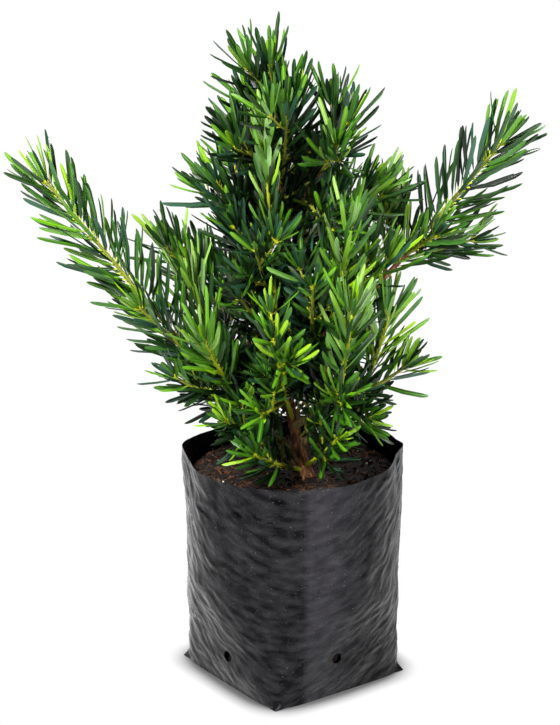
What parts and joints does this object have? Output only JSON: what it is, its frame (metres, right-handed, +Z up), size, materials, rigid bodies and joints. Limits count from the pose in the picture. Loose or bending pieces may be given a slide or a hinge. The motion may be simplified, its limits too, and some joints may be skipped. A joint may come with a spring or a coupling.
{
  "type": "podocarpus shrub in a nursery bag",
  "caption": "Young bushy podocarpus with narrow spiral leaves, a leaning trunk and long side arms, growing in a round black film nursery bag of potting mix.",
  "frame": {"origin": "centre of the bag's flat underside, on the surface that it stands on", "axes": "+Z up; +X to the right and +Y to the back, as the plant is seen from its front"},
  "size_m": [0.513, 0.2619, 0.6583],
  "materials": {
    "bag": "glossy wrinkled black polyethylene film",
    "soil": "dark moist bark and coir potting mix",
    "bark": "thin flaky reddish-brown bark",
    "foliage": "glossy narrow evergreen leaves on green shoots"
  },
  "bodies": {
    "root": {"bag": "bag", "soil": "soil", "trunk": "bark", "bough_left": "bark", "bough_right": "bark", "bough_upper_right": "bark", "bough_front_right": "bark", "bough_front": "bark", "bough_right_low": "bark", "bough_right_front": "bark", "bough_back_left": "bark", "bough_back_right": "bark", "bough_back": "bark", "shoot_left_arm": "foliage", "shoot_left_low": "foliage", "shoot_left_up": "foliage", "shoot_left_front": "foliage", "shoot_left_under": "foliage", "shoot_left_foot": "foliage", "shoot_left_inner": "foliage", "shoot_left_mid": "foliage", "shoot_left_centre": "foliage", "shoot_upper_left": "foliage", "shoot_front_low": "foliage", "shoot_front_foot": "foliage", "shoot_front_leader": "foliage", "shoot_front_right": "foliage", "shoot_front_inner": "foliage", "shoot_mid_inner": "foliage", "shoot_right_front": "foliage", "shoot_right_inner": "foliage", "shoot_right_hem": "foliage", "shoot_right_low": "foliage", "shoot_right_low_up": "foliage", "shoot_right_foot": "foliage", "shoot_right_fore": "foliage", "shoot_right_arm": "foliage", "shoot_right_arm_mid": "foliage", "shoot_right_arm_low": "foliage", "shoot_right_arm_up": "foliage", "shoot_right_mid": "foliage", "shoot_right_centre": "foliage", "shoot_top_right": "foliage", "shoot_top_right_back": "foliage", "shoot_top": "foliage", "shoot_top_mid": "foliage", "shoot_top_front": "foliage", "shoot_top_left": "foliage", "shoot_top_left_back": "foliage", "shoot_hem_left": "foliage", "shoot_hem_right": "foliage", "shoot_back_left_1": "foliage", "shoot_back_left_2": "foliage", "shoot_back_right_1": "foliage", "shoot_back_right_2": "foliage", "shoot_back_1": "foliage", "shoot_back_2": "foliage", "shoot_climb_1": "foliage", "shoot_climb_2": "foliage", "shoot_climb_3": "foliage"}
  },
  "joints": []
}
